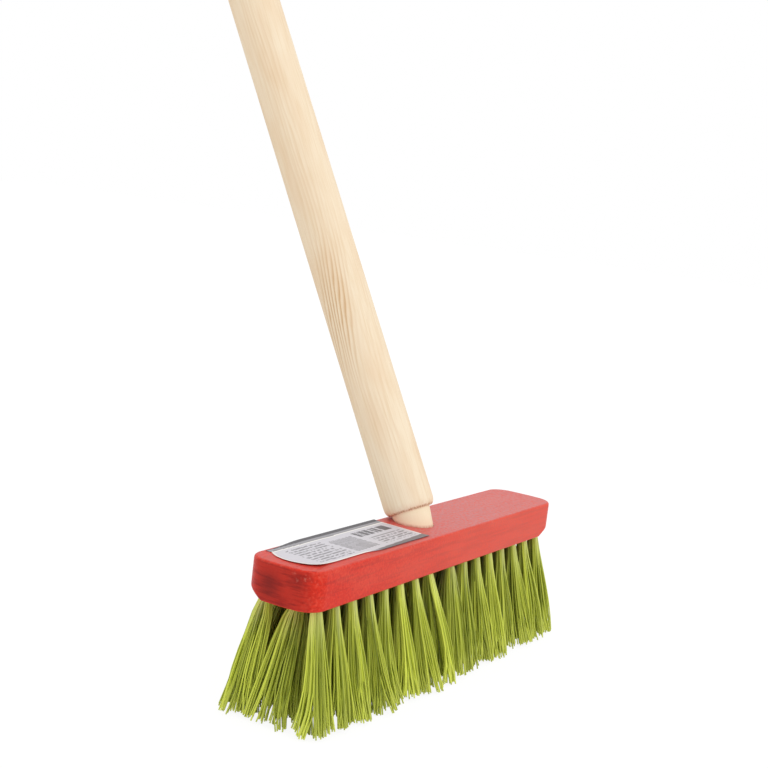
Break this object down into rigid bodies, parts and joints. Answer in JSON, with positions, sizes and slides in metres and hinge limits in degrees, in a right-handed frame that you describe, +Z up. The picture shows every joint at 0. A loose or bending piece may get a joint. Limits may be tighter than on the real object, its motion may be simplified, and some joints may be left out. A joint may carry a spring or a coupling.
{
  "type": "broom",
  "caption": "Small broom: red lacquered wooden block with lime green bristle tufts and a raw wooden stick pushed into its slanted socket, for sweeping floors.",
  "frame": {"origin": "on the floor that the bristle tips stand on, under the middle of the block", "axes": "+X along the block, -Y its front, +Y the way the stick leans, +Z up"},
  "size_m": [0.2256, 0.4099, 0.7672],
  "materials": {
    "raw_wood": "sanded, unfinished",
    "red_lacquered_wood": "satin lacquer",
    "label_paper": "coated paper",
    "lime_bristle_plastic": "extruded filament",
    "steel_wire": "drawn wire"
  },
  "bodies": {
    "head": {"block": "red_lacquered_wood", "paper_label": "label_paper", "bristles_front_row": "lime_bristle_plastic", "bristles_middle_left": "lime_bristle_plastic", "bristles_middle_right": "lime_bristle_plastic", "bristles_back_row": "lime_bristle_plastic", "staple_front_01": "steel_wire", "staple_front_02": "steel_wire", "staple_front_03": "steel_wire", "staple_front_04": "steel_wire", "staple_front_05": "steel_wire", "staple_front_06": "steel_wire", "staple_front_07": "steel_wire", "staple_front_08": "steel_wire", "staple_front_09": "steel_wire", "staple_front_10": "steel_wire", "staple_front_11": "steel_wire", "staple_front_12": "steel_wire", "staple_front_13": "steel_wire", "staple_front_14": "steel_wire", "staple_front_15": "steel_wire", "staple_front_16": "steel_wire", "staple_middle_01": "steel_wire", "staple_middle_02": "steel_wire", "staple_middle_03": "steel_wire", "staple_middle_04": "steel_wire", "staple_middle_05": "steel_wire", "staple_middle_06": "steel_wire", "staple_middle_07": "steel_wire", "staple_middle_08": "steel_wire", "staple_middle_09": "steel_wire", "staple_middle_10": "steel_wire", "staple_middle_11": "steel_wire", "staple_middle_12": "steel_wire", "staple_middle_13": "steel_wire", "staple_middle_14": "steel_wire", "staple_back_01": "steel_wire", "staple_back_02": "steel_wire", "staple_back_03": "steel_wire", "staple_back_04": "steel_wire", "staple_back_05": "steel_wire", "staple_back_06": "steel_wire", "staple_back_07": "steel_wire", "staple_back_08": "steel_wire", "staple_back_09": "steel_wire", "staple_back_10": "steel_wire", "staple_back_11": "steel_wire", "staple_back_12": "steel_wire", "staple_back_13": "steel_wire", "staple_back_14": "steel_wire", "staple_back_15": "steel_wire", "staple_back_16": "steel_wire"},
    "handle": {"handle": "raw_wood"}
  },
  "joints": [
    {"name": "handle_pull", "type": "slide", "parent": "head", "child": "handle", "axis": [0, 0.4695, 0.8829], "range_m": [0, 0.05]}
  ]
}
